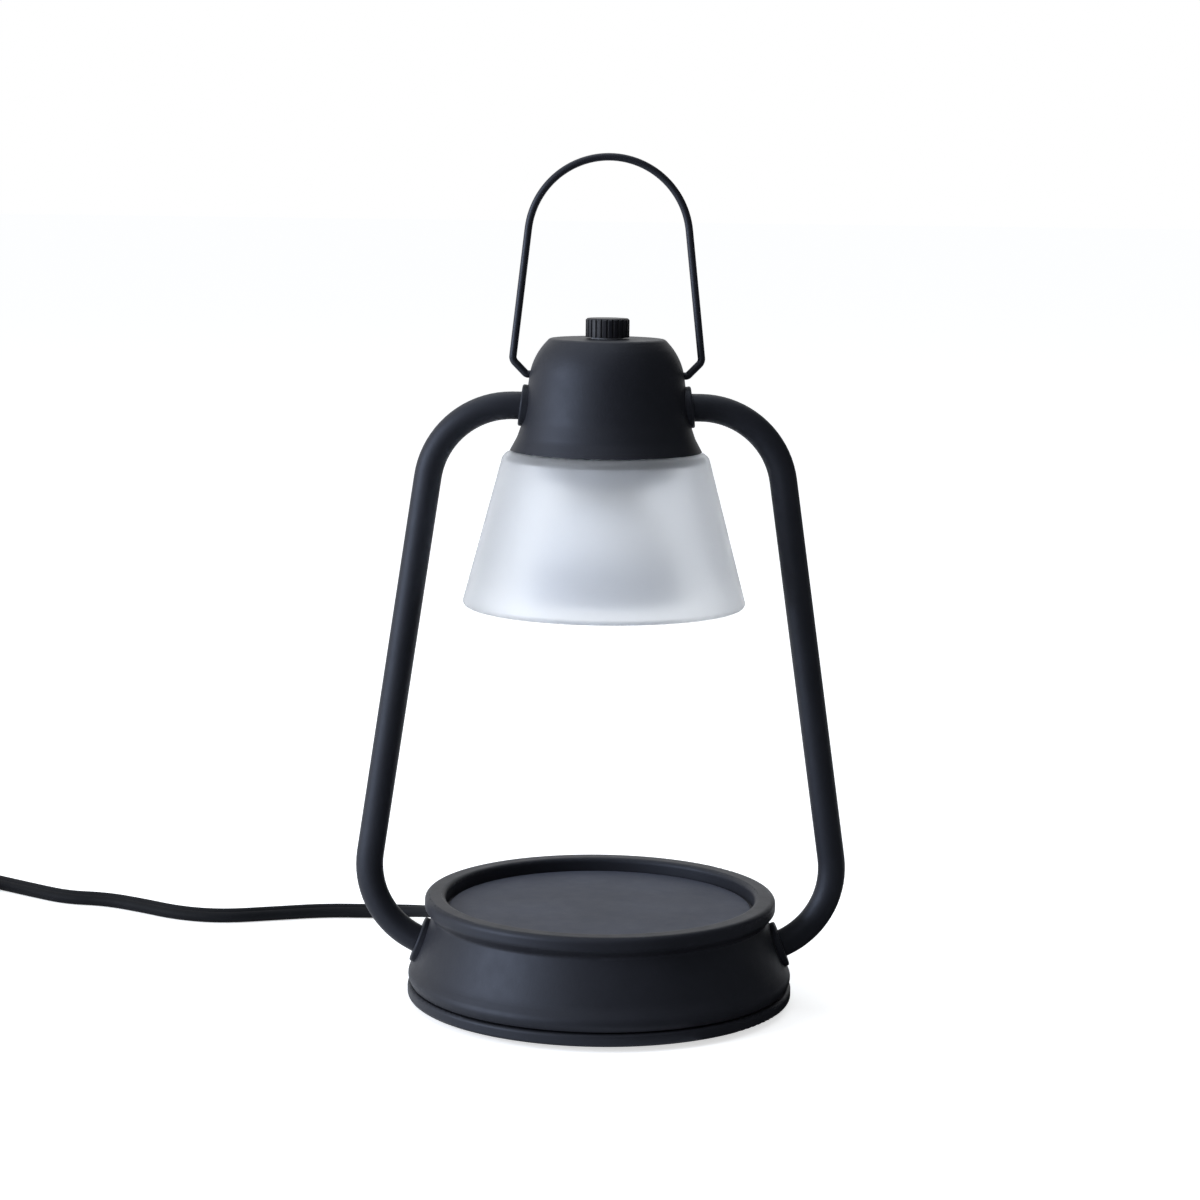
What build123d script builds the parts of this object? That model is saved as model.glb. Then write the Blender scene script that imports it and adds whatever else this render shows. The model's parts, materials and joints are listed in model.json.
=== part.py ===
"""Candle warmer lamp: weighted round base, two bent arms, hooded glass shade and a wire bail.

Millimetres, +Z up. The origin is at the centre of the base, on the surface that the feet stand on.
The front is -Y, and the arms stand at -X and +X.
"""

import os
from math import asin, atan2, cos, degrees, hypot, pi, radians, sin, tan

from build123d import *

# ---------------------------------------------------------------- driving dimensions

# feet and weight plate
weight_radius = 60.1
weight_thickness = 3.8
weight_edge_round = 1.0
foot_radius = 5.5
foot_height = 1.7
foot_recess_depth = 0.6
foot_chamfer_width = 0.4
foot_edge_inset = 10.1
foot_count = 4

# base shell: steps of the outer side of the spun sheet, from the weight plate's edge inwards and up
shell_wall = 1.2
lip_gap = 0.6
lip_inset = 0.9
lip_to_bulge_height = 2.6
bulge_overhang = 0.2
bulge_round = 3.0
bulge_to_knee_height = 4.0
knee_inset = 2.5
knee_round = 10.0
skirt_height = 13.9
skirt_run_width = 5.3
neck_round = 1.0
neck_to_bead_height = 2.7
bead_overhang = 2.5
bead_under_round = 1.5
bead_height = 4.0
bead_width = 6.5
bead_outer_round = 1.7
bead_inner_round = 1.5
recess_depth = 5.2
recess_round = 0.8

# candle plate
plate_thickness = 1.2
plate_edge_round = 0.4
plate_gap = 0.3

# ballast, posts and the screws that hold the base together
ballast_edge_inset = 22.1
ballast_thickness = 7.2
ballast_chamfer_width = 1.0
post_circle_radius = 30.0
post_across_flats_width = 8.0
post_count = 3
base_screw_radius = 2.0
base_screw_head_radius = 3.6
base_screw_head_height = 2.2
base_screw_grip_length = 8.0
hole_clearance = 0.25

# arms
tube_radius = 4.25
tube_wall = 1.2
tube_clearance = 0.1
arm_top_z = 185.9
arm_top_run_width = 25.95
arm_foot_run_width = 17.1
arm_top_bend_radius = 26.0
arm_low_bend_radius = 26.4
arm_foot_z = 18.15
arm_foot_tilt = 27.0
arm_foot_inside_length = 8.6
arm_end_x = 17.0

# flanges, washers and nuts on the arms
foot_flange_radius = 7.2
head_flange_radius = 6.4
flange_thickness = 1.6
flange_round_radius = 0.6
flange_saddle_depth = 1.4
washer_radius = 7.0
washer_depth = 4.4
nut_across_flats_width = 12.0
nut_thickness = 3.0
nut_clearance = 0.03

# hood, as the outer side of the spun sheet
hood_wall = 1.1
hood_top_z = 206.6
hood_top_radius = 17.6
hood_top_round = 1.5
shoulder_radius = 22.95
shoulder_z = 200.8
shoulder_round = 19.0
waist_radius = 25.3
waist_z = 182.1
waist_round = 10.0
flare_radius = 27.3
flare_z = 176.3
flare_round = 8.0
hood_lip_radius = 29.4
hood_lip_z = 172.4

# glass shade, as the outer side of the glass
glass_wall = 3.0
glass_top_z = 172.0
glass_hole_radius = 15.7
glass_shoulder_radius = 31.3
glass_shoulder_round = 3.2
glass_bottom_radius = 43.8
glass_bottom_z = 125.0
glass_edge_round = 1.3

# lamp bracket inside the hood
bracket_thickness = 1.2
bracket_top_z = 178.7
bracket_disc_radius = 17.0
bracket_hole_radius = 8.2
bracket_width = 13.0
ear_outer_x = 22.0
ear_height = 14.2

# gallery that carries the glass, its gaskets and ring
gallery_wall = 1.2
gallery_radius = 19.2
gallery_neck_radius = 15.0
gallery_neck_drop = 15.8
gasket_thickness = 0.6
gasket_radius = 19.6
gasket_clearance = 0.2
ring_height = 4.6
ring_radius = 20.6
ring_notch_radius = 1.2
ring_notch_count = 12

# lamp holder and its screws
holder_radius = 9.5
holder_height = 12.0
holder_ear_length = 32.0
holder_ear_width = 9.0
holder_ear_thickness = 4.0
holder_edge_round = 1.2
holder_screw_y = 12.2
small_screw_radius = 1.5
small_screw_head_radius = 2.6
small_screw_head_height = 1.9
small_screw_clearance = 0.1

# reflector lamp
lamp_radius = 25.0
lamp_face_z = 126.3
lamp_rim_height = 3.2
lamp_glass_thickness = 1.4
lamp_neck_radius = 10.6
lamp_bowl_height = 31.5
lamp_base_radius = 9.0
lamp_base_height = 18.3
lens_thickness = 1.6
lamp_cone_height = 4.8
pin_spacing = 10.0
pin_radius = 1.5
pin_head_radius = 2.4
pin_head_height = 2.0
pin_length = 5.4
pin_hole_clearance = 0.3

# dimmer
dimmer_radius = 8.2
dimmer_height = 7.6
bushing_radius = 3.5
bushing_height = 1.8
bushing_clearance = 0.1
shaft_radius = 2.95
shaft_clearance = 0.05
shaft_bottom_z = 200.3
shaft_end_gap = 0.3
shaft_flat_depth = 0.9
shaft_height = 4.9
lug_reach_length = 2.7
lug_width = 4.0
lug_thickness = 0.8
dimmer_nut_radius = 4.9
dimmer_nut_height = 1.6
dimmer_nut_slot_width = 1.4

# knob
knob_radius = 6.7
knob_height = 5.7
knob_gap = 0.5
knob_recess_radius = 5.35
knob_recess_depth = 1.75
knob_top_round = 0.5
flute_count = 24
flute_radius = 0.42
knob_fit = 0.02

# wire bail
wire_radius = 1.15
bail_pivot_z = 195.5
bail_hole_clearance = 0.06
bail_elbow_gap = 0.95
bail_elbow_round = 1.3
bail_half_width = 28.85
bail_bend_z = 199.9
bail_bend_round = 2.4
bail_top_z = 261.35
bail_arch_radius = 24.55
bail_end_x = 20.9
bail_head_radius = 1.75
bail_head_length = 0.9
bail_head_gap = 0.6

# wiring inside the lamp
arm_lead_radius = 1.6
lamp_lead_radius = 1.1
lead_bend_radius = 5.0
lead_approach_length = 13.0
lead_exit_length = 3.5
lead_rest_inset_width = 7.5
lead_rest_side_width = 1.0
lead_rest_height = 2.5
lamp_lead_height = 3.0
block_length = 18.0
block_width = 12.0
block_height = 10.6
block_chamfer_width = 0.8
clamp_to_block_length = 12.3
clamp_length = 5.6
clamp_width = 14.0
clamp_height = 10.9
clamp_edge_inset = 3.7
clamp_screw_spacing = 10.0
clamp_screw_depth = 4.0

# cord, boot, coil and plug
cord_radius = 2.3
cord_azimuth = 125.0
boot_z = 14.5
boot_droop = 12.0
boot_length = 22.0
boot_root_radius = 4.4
boot_tip_radius = 3.1
boot_neck_radius = 3.7
boot_neck_inside = 4.0
boot_neck_outside = 5.0
boot_collar_radius = 6.6
boot_collar_thickness = 1.5
boot_collar_round = 0.6
boot_groove_count = 5
boot_groove_width = 0.9
boot_groove_depth = 0.7
boot_fit = 0.05
boot_join_length = 12.0
boot_lead_length = 4.0
coil_centre = (-263.0, 120.4)
coil_turn_radius = 36.0
coil_half_width = 8.3
coil_middle_radius = 30.5
coil_bottom_z = 0.7
coil_height = 8.0
coil_round = 2.0
tie_gap = 0.15
tie_slack_width = 0.8
tie_thickness = 0.5
tie_width = 5.0
tie_angle = -50.0
plug_end = (-301.7, 86.1, 6.3)
plug_neck_radius = 3.4
plug_relief_length = 14.0
plug_relief_radius = 4.6
plug_relief_groove_count = 4
plug_relief_groove_width = 1.1
plug_relief_groove_depth = 0.7
plug_root_width = 14.0
plug_root_height = 9.4
plug_shoulder_length = 8.5
plug_body_length = 23.0
plug_body_width = 22.0
plug_body_height = 12.6
plug_body_round = 3.4
plug_nose_width = 24.5
plug_nose_round = 1.0
plug_grip_width = 13.0
plug_grip_count = 5
plug_grip_groove_width = 1.0
plug_grip_groove_depth = 0.5
plug_grip_step_length = 2.3
blade_length = 17.5
blade_width = 6.35
blade_thickness = 1.5
blade_spacing = 12.7
blade_inset_depth = 4.0
blade_hole_radius = 1.6
blade_hole_inset = 4.0

# ---------------------------------------------------------------- places worked out from them

weight_top_z = foot_height + weight_thickness
ballast_top_z = weight_top_z + ballast_thickness
foot_circle_radius = weight_radius - foot_edge_inset
ballast_radius = weight_radius - ballast_edge_inset
clamp_circle_radius = ballast_radius - clamp_edge_inset
block_circle_radius = clamp_circle_radius - clamp_to_block_length
lip_radius = weight_radius - lip_inset
lip_z = weight_top_z + lip_gap
bulge_radius = weight_radius + bulge_overhang
bulge_z = lip_z + lip_to_bulge_height
knee_radius = weight_radius - knee_inset
knee_z = bulge_z + bulge_to_knee_height
neck_radius = knee_radius - skirt_run_width
neck_z = knee_z + skirt_height
bead_radius = neck_radius + bead_overhang
bead_bottom_z = neck_z + neck_to_bead_height
bead_crest_z = bead_bottom_z + bead_height
recess_radius = bead_radius - bead_width
recess_z = bead_crest_z - recess_depth
shell_floor_z = recess_z - shell_wall
plate_radius = recess_radius - recess_round - plate_gap

skirt_slope = (knee_radius - neck_radius) / (neck_z - knee_z)
skirt_tilt = degrees(atan2(knee_radius - neck_radius, neck_z - knee_z))


def skirt_radius(z):
    """Outer radius of the straight part of the skirt at a height."""
    return knee_radius - (z - knee_z) * skirt_slope


hood_slope = (waist_radius - shoulder_radius) / (shoulder_z - waist_z)
hood_tilt = degrees(atan2(waist_radius - shoulder_radius, shoulder_z - waist_z))


def hood_radius(z):
    """Outer radius of the straight wall of the hood at a height."""
    return shoulder_radius + (shoulder_z - z) * hood_slope


# the arm meets the outer face of its foot flange here
foot_seat_z = arm_foot_z - flange_thickness * sin(radians(skirt_tilt))
foot_seat_x = skirt_radius(foot_seat_z)
arm_foot_x = foot_seat_x + flange_thickness * cos(radians(skirt_tilt))
arm_inward = Vector(-cos(radians(arm_foot_tilt)), 0, -sin(radians(arm_foot_tilt)))
arm_foot = Vector(arm_foot_x, 0, arm_foot_z)
arm_low_corner_x = knee_radius + arm_foot_run_width
arm_low_corner = Vector(
    arm_low_corner_x, 0, arm_foot_z + (arm_low_corner_x - arm_foot_x) * tan(radians(arm_foot_tilt))
)
arm_top_corner = Vector(waist_radius + arm_top_run_width, 0, arm_top_z)
arm_foot_end = arm_foot + arm_inward * arm_foot_inside_length
arm_head_end = Vector(arm_end_x, 0, arm_top_z)

foot_axis = Plane(origin=arm_foot, x_dir=(0, 1, 0), z_dir=arm_inward)
foot_seat = Plane(
    origin=(foot_seat_x, 0, foot_seat_z),
    x_dir=(0, 1, 0),
    z_dir=(cos(radians(skirt_tilt)), 0, sin(radians(skirt_tilt))),
)
head_seat = Plane(
    origin=(hood_radius(arm_top_z), 0, arm_top_z),
    x_dir=(0, 1, 0),
    z_dir=(cos(radians(hood_tilt)), 0, sin(radians(hood_tilt))),
)

bracket_bottom_z = bracket_top_z - bracket_thickness
gallery_lip_z = glass_top_z + gasket_thickness
glass_flange_z = glass_top_z - glass_wall
holder_top_z = bracket_top_z + holder_height
lamp_neck_z = lamp_face_z + lamp_bowl_height
lamp_base_z = lamp_neck_z + lamp_base_height
hood_ceiling_z = hood_top_z - hood_wall
dimmer_bottom_z = hood_ceiling_z - dimmer_height
knob_bottom_z = hood_top_z + knob_gap
knob_ceiling_z = knob_bottom_z + knob_recess_depth
shaft_top_z = hood_top_z + shaft_height

# the boot's axis leaves the skirt at the rear left and droops towards the surface
boot_flat = Vector(cos(radians(cord_azimuth)), sin(radians(cord_azimuth)), 0)
boot_axis = boot_flat * cos(radians(boot_droop)) - Vector(0, 0, sin(radians(boot_droop)))
boot_seat = boot_flat * skirt_radius(boot_z) + Vector(0, 0, boot_z)
boot_tip = boot_seat + boot_axis * boot_length
tail_end = boot_seat + boot_axis * boot_join_length
boot_plane = Plane(origin=boot_seat, x_dir=(-boot_flat.Y, boot_flat.X, 0), z_dir=boot_axis)
tail_length = (boot_seat - boot_flat * (block_circle_radius + block_length / 2)).dot(boot_flat)
tail_start = boot_seat - boot_axis * (tail_length / cos(radians(boot_droop)) - cord_radius * tan(radians(boot_droop)))

# ---------------------------------------------------------------- filled outlines used as cutters

shell_line = [
    (lip_radius, lip_z),
    (bulge_radius, bulge_z),
    (knee_radius, knee_z),
    (neck_radius, neck_z),
    (bead_radius, bead_bottom_z),
    (bead_radius, bead_crest_z),
    (recess_radius, bead_crest_z),
    (recess_radius, recess_z),
    (0, recess_z),
]
shell_rounds = [
    bulge_round,
    knee_round,
    neck_round,
    bead_under_round,
    bead_outer_round,
    bead_inner_round,
    recess_round,
]
lip_slope = (hood_lip_radius - flare_radius) / (flare_z - hood_lip_z)
hood_line = [
    (0, hood_top_z),
    (hood_top_radius, hood_top_z),
    (shoulder_radius, shoulder_z),
    (waist_radius, waist_z),
    (flare_radius, flare_z),
    (hood_lip_radius + hood_wall * lip_slope, hood_lip_z - hood_wall),
]
hood_rounds = [hood_top_round, shoulder_round, waist_round, flare_round]

with BuildPart() as shell_envelope:
    with BuildSketch(Plane.XZ):
        with BuildLine():
            FilletPolyline(*shell_line, radius=shell_rounds)
            Polyline((0, recess_z), (0, lip_z), (lip_radius, lip_z))
        make_face()
    revolve(axis=Axis.Z)

with BuildPart() as hood_envelope:
    with BuildSketch(Plane.XZ):
        with BuildLine():
            FilletPolyline(*hood_line, radius=hood_rounds)
            Polyline(hood_line[-1], (0, hood_lip_z - hood_wall), hood_line[0])
        make_face()
    revolve(axis=Axis.Z)

# ---------------------------------------------------------------- feet

with BuildPart() as foot_pads:
    with BuildSketch(Plane.XY):
        with PolarLocations(foot_circle_radius, foot_count, start_angle=45):
            Circle(foot_radius)
    extrude(amount=foot_height + foot_recess_depth)
    chamfer(foot_pads.edges().group_by(Axis.Z)[0], length=foot_chamfer_width)

# ---------------------------------------------------------------- weight plate

with BuildPart() as weight_plate:
    with BuildSketch(Plane.XY.offset(foot_height)):
        Circle(weight_radius)
    extrude(amount=weight_thickness)
    fillet(weight_plate.edges().filter_by(GeomType.CIRCLE), radius=weight_edge_round)
    with BuildSketch(Plane.XY.offset(foot_height)):
        with PolarLocations(foot_circle_radius, foot_count, start_angle=45):
            Circle(foot_radius + hole_clearance)
    extrude(amount=foot_recess_depth, mode=Mode.SUBTRACT)
    with BuildSketch(Plane.XY.offset(foot_height)):
        with PolarLocations(post_circle_radius, post_count, start_angle=90):
            Circle(base_screw_head_radius + hole_clearance)
    extrude(amount=base_screw_head_height + hole_clearance, mode=Mode.SUBTRACT)
    with BuildSketch(Plane.XY.offset(foot_height)):
        with PolarLocations(post_circle_radius, post_count, start_angle=90):
            Circle(base_screw_radius + hole_clearance)
    extrude(amount=weight_thickness, mode=Mode.SUBTRACT)

# ---------------------------------------------------------------- ballast

with BuildPart() as ballast_disc:
    with BuildSketch(Plane.XY.offset(weight_top_z)):
        Circle(ballast_radius)
    extrude(amount=ballast_thickness)
    chamfer(ballast_disc.edges().filter_by(GeomType.CIRCLE), length=ballast_chamfer_width)
    with BuildSketch(Plane.XY.offset(weight_top_z)):
        with PolarLocations(post_circle_radius, post_count, start_angle=90):
            Circle(base_screw_radius + hole_clearance)
    extrude(amount=ballast_thickness, mode=Mode.SUBTRACT)
    clamp_plane = Plane(
        origin=boot_flat * clamp_circle_radius + Vector(0, 0, ballast_top_z), x_dir=boot_flat, z_dir=(0, 0, 1)
    )
    with BuildSketch(clamp_plane):
        with GridLocations(0, clamp_screw_spacing, 1, 2):
            Circle(small_screw_radius)
    extrude(amount=-clamp_screw_depth, mode=Mode.SUBTRACT)

# ---------------------------------------------------------------- posts and base screws

post_length = shell_floor_z - ballast_top_z
screw_seat_z = foot_height + base_screw_head_height + hole_clearance

with BuildPart() as shell_posts:
    with BuildSketch(Plane.XY.offset(ballast_top_z)):
        with PolarLocations(post_circle_radius, post_count, start_angle=90):
            RegularPolygon(post_across_flats_width / 2, 6, major_radius=False)
        with PolarLocations(post_circle_radius, post_count, start_angle=90):
            Circle(base_screw_radius, mode=Mode.SUBTRACT)
    extrude(amount=post_length)

with BuildPart() as base_screws:
    with BuildSketch(Plane.XY.offset(screw_seat_z)):
        with PolarLocations(post_circle_radius, post_count, start_angle=90):
            Circle(base_screw_head_radius)
    extrude(amount=-base_screw_head_height)
    with BuildSketch(Plane.XY.offset(screw_seat_z)):
        with PolarLocations(post_circle_radius, post_count, start_angle=90):
            Circle(base_screw_radius)
    extrude(amount=ballast_top_z + base_screw_grip_length - screw_seat_z)
    with BuildSketch(Plane.XY.offset(screw_seat_z - base_screw_head_height)):
        with PolarLocations(post_circle_radius, post_count, start_angle=90):
            RegularPolygon(base_screw_radius, 6)
    extrude(amount=base_screw_head_height / 2, mode=Mode.SUBTRACT)

# ---------------------------------------------------------------- base shell

with BuildPart() as base_shell:
    with BuildSketch(Plane.XZ):
        with BuildLine():
            FilletPolyline(*shell_line, radius=shell_rounds)
            offset(amount=shell_wall, side=Side.LEFT)
        make_face()
    revolve(axis=Axis.Z)
    with BuildSketch(foot_axis):
        Circle(tube_radius + tube_clearance)
    extrude(amount=arm_foot_inside_length, both=True, mode=Mode.SUBTRACT)
    with BuildSketch(Plane(origin=(-arm_foot.X, 0, arm_foot.Z), x_dir=(0, 1, 0), z_dir=(-arm_inward.X, 0, arm_inward.Z))):
        Circle(tube_radius + tube_clearance)
    extrude(amount=arm_foot_inside_length, both=True, mode=Mode.SUBTRACT)
    with BuildSketch(boot_plane):
        Circle(boot_neck_radius + boot_fit)
    extrude(amount=boot_neck_outside, both=True, mode=Mode.SUBTRACT)

# ---------------------------------------------------------------- candle plate

with BuildPart() as candle_plate:
    with BuildSketch(Plane.XY.offset(recess_z)):
        Circle(plate_radius)
    extrude(amount=plate_thickness)
    fillet(candle_plate.edges().group_by(Axis.Z)[-1], radius=plate_edge_round)

# ---------------------------------------------------------------- arms

with BuildPart() as arm_right:
    with BuildLine() as arm_line:
        FilletPolyline(
            arm_head_end, arm_top_corner, arm_low_corner, arm_foot_end, radius=[arm_top_bend_radius, arm_low_bend_radius]
        )
    with BuildSketch(Plane(origin=arm_head_end, x_dir=(0, 1, 0), z_dir=(1, 0, 0))):
        Circle(tube_radius)
        Circle(tube_radius - tube_wall, mode=Mode.SUBTRACT)
    sweep()

with BuildPart() as arm_left:
    mirror(arm_right.part, about=Plane.YZ)

# ---------------------------------------------------------------- foot flanges, washers and nuts

with BuildPart() as foot_flange_right:
    with BuildSketch(foot_seat.offset(-flange_saddle_depth)):
        Circle(foot_flange_radius)
    extrude(amount=flange_saddle_depth + flange_thickness)
    fillet(foot_flange_right.edges().sort_by(Axis.X)[-1], radius=flange_round_radius)
    add(shell_envelope.part, mode=Mode.SUBTRACT)
    with BuildSketch(foot_axis):
        Circle(tube_radius + tube_clearance / 2)
    extrude(amount=arm_foot_inside_length, both=True, mode=Mode.SUBTRACT)

with BuildPart() as foot_flange_left:
    mirror(foot_flange_right.part, about=Plane.YZ)

with BuildPart() as foot_washers:
    with BuildSketch(foot_axis):
        Circle(washer_radius)
        Circle(tube_radius + tube_clearance, mode=Mode.SUBTRACT)
    extrude(amount=washer_depth)
    with BuildSketch(Plane.XZ):
        with BuildLine():
            FilletPolyline(*shell_line, radius=shell_rounds)
            offset(amount=shell_wall, side=Side.LEFT)
        make_face()
    revolve(axis=Axis.Z, mode=Mode.SUBTRACT)
    outer_scrap = foot_washers.solids().sort_by(Axis.X)[1:]
    add(outer_scrap, mode=Mode.SUBTRACT)
    mirror(about=Plane.YZ)

with BuildPart() as foot_nuts:
    with BuildSketch(foot_axis.offset(washer_depth)):
        RegularPolygon(nut_across_flats_width / 2, 6, major_radius=False)
        Circle(tube_radius + nut_clearance, mode=Mode.SUBTRACT)
    extrude(amount=nut_thickness)
    mirror(about=Plane.YZ)

# ---------------------------------------------------------------- hood

with BuildPart() as hood:
    with BuildSketch(Plane.XZ):
        with BuildLine():
            FilletPolyline(*hood_line, radius=hood_rounds)
            offset(amount=hood_wall, side=Side.RIGHT)
        make_face()
    revolve(axis=Axis.Z)
    split(bisect_by=Plane.XY.offset(hood_lip_z))
    with BuildSketch(Plane.YZ.offset(-hood_lip_radius)):
        with Locations((0, arm_top_z)):
            Circle(tube_radius + tube_clearance)
        with Locations((0, bail_pivot_z)):
            Circle(wire_radius + bail_hole_clearance)
    extrude(amount=2 * hood_lip_radius, mode=Mode.SUBTRACT)
    with BuildSketch(Plane.XY.offset(hood_top_z)):
        Circle(bushing_radius + bushing_clearance)
    extrude(amount=-hood_wall, mode=Mode.SUBTRACT)

# ---------------------------------------------------------------- head flanges and nuts

with BuildPart() as head_flange_right:
    with BuildSketch(head_seat.offset(-flange_saddle_depth)):
        Circle(head_flange_radius)
    extrude(amount=flange_saddle_depth + flange_thickness)
    fillet(head_flange_right.edges().sort_by(Axis.X)[-1], radius=flange_round_radius)
    add(hood_envelope.part, mode=Mode.SUBTRACT)
    with BuildSketch(Plane.YZ.offset(shoulder_radius / 2)):
        with Locations((0, arm_top_z)):
            Circle(tube_radius + tube_clearance / 2)
    extrude(amount=shoulder_radius, mode=Mode.SUBTRACT)

with BuildPart() as head_flange_left:
    mirror(head_flange_right.part, about=Plane.YZ)

ear_inner_x = ear_outer_x - bracket_thickness

with BuildPart() as head_nuts:
    with BuildSketch(Plane.YZ.offset(ear_inner_x)):
        with Locations((0, arm_top_z)):
            RegularPolygon(nut_across_flats_width / 2, 6, major_radius=False)
            Circle(tube_radius + nut_clearance, mode=Mode.SUBTRACT)
    extrude(amount=-nut_thickness)
    mirror(about=Plane.YZ)

# ---------------------------------------------------------------- lamp bracket

with BuildPart() as lamp_bracket:
    with BuildSketch(Plane.XZ.offset(-bracket_width / 2)):
        with BuildLine():
            FilletPolyline(
                (-ear_outer_x, bracket_bottom_z + ear_height),
                (-ear_outer_x, bracket_bottom_z),
                (ear_outer_x, bracket_bottom_z),
                (ear_outer_x, bracket_bottom_z + ear_height),
                radius=2 * bracket_thickness,
            )
            offset(amount=bracket_thickness, side=Side.LEFT)
        make_face()
    extrude(amount=bracket_width)
    with BuildSketch(Plane.XY.offset(bracket_bottom_z)):
        Circle(bracket_disc_radius)
    extrude(amount=bracket_thickness)
    with BuildSketch(Plane.XY.offset(bracket_bottom_z)):
        Circle(bracket_hole_radius)
        with GridLocations(0, 2 * holder_screw_y, 1, 2):
            Circle(small_screw_radius + small_screw_clearance)
    extrude(amount=bracket_thickness, mode=Mode.SUBTRACT)
    with BuildSketch(Plane.YZ.offset(-ear_outer_x)):
        with Locations((0, arm_top_z)):
            Circle(tube_radius + tube_clearance)
    extrude(amount=2 * ear_outer_x, mode=Mode.SUBTRACT)

# ---------------------------------------------------------------- gallery, gaskets and shade ring

neck_bottom_z = bracket_bottom_z - gallery_neck_drop

with BuildPart() as shade_gallery:
    with BuildSketch(Plane.XZ):
        with BuildLine():
            Polyline(
                (bracket_hole_radius, bracket_bottom_z),
                (gallery_radius, bracket_bottom_z),
                (gallery_radius, gallery_lip_z),
                (gallery_radius - gallery_wall, gallery_lip_z),
                (gallery_radius - gallery_wall, bracket_bottom_z - gallery_wall),
                (gallery_neck_radius, bracket_bottom_z - gallery_wall),
                (gallery_neck_radius, neck_bottom_z),
                (gallery_neck_radius - gallery_wall, neck_bottom_z),
                (gallery_neck_radius - gallery_wall, bracket_bottom_z - gallery_wall),
                (bracket_hole_radius, bracket_bottom_z - gallery_wall),
                close=True,
            )
        make_face()
    revolve(axis=Axis.Z)
    with BuildSketch(Plane.XY.offset(bracket_bottom_z)):
        with GridLocations(0, 2 * holder_screw_y, 1, 2):
            Circle(small_screw_radius)
    extrude(amount=-gallery_wall, mode=Mode.SUBTRACT)

with BuildPart() as shade_gaskets:
    with BuildSketch(Plane.XY.offset(glass_top_z), Plane.XY.offset(glass_flange_z - gasket_thickness)):
        Circle(gasket_radius)
        Circle(gallery_neck_radius + gasket_clearance, mode=Mode.SUBTRACT)
    extrude(amount=gasket_thickness)

with BuildPart() as shade_ring:
    with BuildSketch(Plane.XY.offset(glass_flange_z - gasket_thickness)):
        Circle(ring_radius)
        with PolarLocations(ring_radius, ring_notch_count):
            Circle(ring_notch_radius, mode=Mode.SUBTRACT)
        Circle(gallery_neck_radius + nut_clearance, mode=Mode.SUBTRACT)
    extrude(amount=-ring_height)

# ---------------------------------------------------------------- glass shade

with BuildPart() as glass_shade:
    with BuildSketch(Plane.XZ):
        with BuildLine():
            FilletPolyline(
                (glass_hole_radius, glass_top_z),
                (glass_shoulder_radius, glass_top_z),
                (glass_bottom_radius, glass_bottom_z),
                radius=glass_shoulder_round,
            )
            offset(amount=glass_wall, side=Side.RIGHT)
        make_face()
    revolve(axis=Axis.Z)
    fillet(glass_shade.edges().filter_by(GeomType.CIRCLE).group_by(Axis.Z)[:2], radius=glass_edge_round)

# ---------------------------------------------------------------- lamp holder and its screws

with BuildPart() as lamp_holder:
    with BuildSketch(Plane.XY.offset(bracket_top_z)):
        Circle(holder_radius)
    extrude(amount=holder_height)
    fillet(lamp_holder.edges().group_by(Axis.Z)[-1], radius=holder_edge_round)
    with BuildSketch(Plane.XY.offset(bracket_top_z)):
        SlotOverall(holder_ear_length, holder_ear_width, rotation=90)
    extrude(amount=holder_ear_thickness)
    with BuildSketch(Plane.XY.offset(bracket_top_z)):
        with GridLocations(0, 2 * holder_screw_y, 1, 2):
            Circle(small_screw_radius + small_screw_clearance)
    extrude(amount=holder_ear_thickness, mode=Mode.SUBTRACT)
    with BuildSketch(Plane.XY.offset(bracket_top_z)):
        with GridLocations(pin_spacing, 0, 2, 1):
            Circle(pin_head_radius + pin_hole_clearance)
    extrude(amount=holder_height / 2, mode=Mode.SUBTRACT)

with BuildPart() as holder_screws:
    with BuildSketch(Plane.XY.offset(bracket_top_z + holder_ear_thickness)):
        with GridLocations(0, 2 * holder_screw_y, 1, 2):
            Circle(small_screw_head_radius)
    extrude(amount=small_screw_head_height)
    with BuildSketch(Plane.XY.offset(bracket_bottom_z - gallery_wall)):
        with GridLocations(0, 2 * holder_screw_y, 1, 2):
            Circle(small_screw_radius)
    extrude(amount=gallery_wall + bracket_thickness + holder_ear_thickness)

# ---------------------------------------------------------------- reflector lamp

rim_top_z = lamp_face_z + lamp_rim_height

with BuildPart() as lamp_reflector:
    with BuildSketch(Plane.XZ):
        with BuildLine():
            Polyline((lamp_neck_radius - lamp_glass_thickness, lamp_neck_z), (lamp_neck_radius, lamp_neck_z))
            Spline(
                (lamp_neck_radius, lamp_neck_z),
                (lamp_radius, rim_top_z),
                tangents=[(0.9, -1), (0.35, -1)],
                tangent_scalars=(1.0, 1.2),
            )
            Polyline(
                (lamp_radius, rim_top_z),
                (lamp_radius, lamp_face_z),
                (lamp_radius - lamp_glass_thickness, lamp_face_z),
                (lamp_radius - lamp_glass_thickness, rim_top_z),
            )
            Spline(
                (lamp_radius - lamp_glass_thickness, rim_top_z),
                (lamp_neck_radius - lamp_glass_thickness, lamp_neck_z),
                tangents=[(-0.35, 1), (-0.9, 1)],
                tangent_scalars=(1.2, 1.0),
            )
        make_face()
    revolve(axis=Axis.Z)

with BuildPart() as lamp_lens:
    with BuildSketch(Plane.XY.offset(lamp_face_z + lens_thickness / 2)):
        Circle(lamp_radius - lamp_glass_thickness)
    extrude(amount=lens_thickness)
    chamfer(lamp_lens.edges().group_by(Axis.Z)[0], length=lens_thickness / 4)

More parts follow.
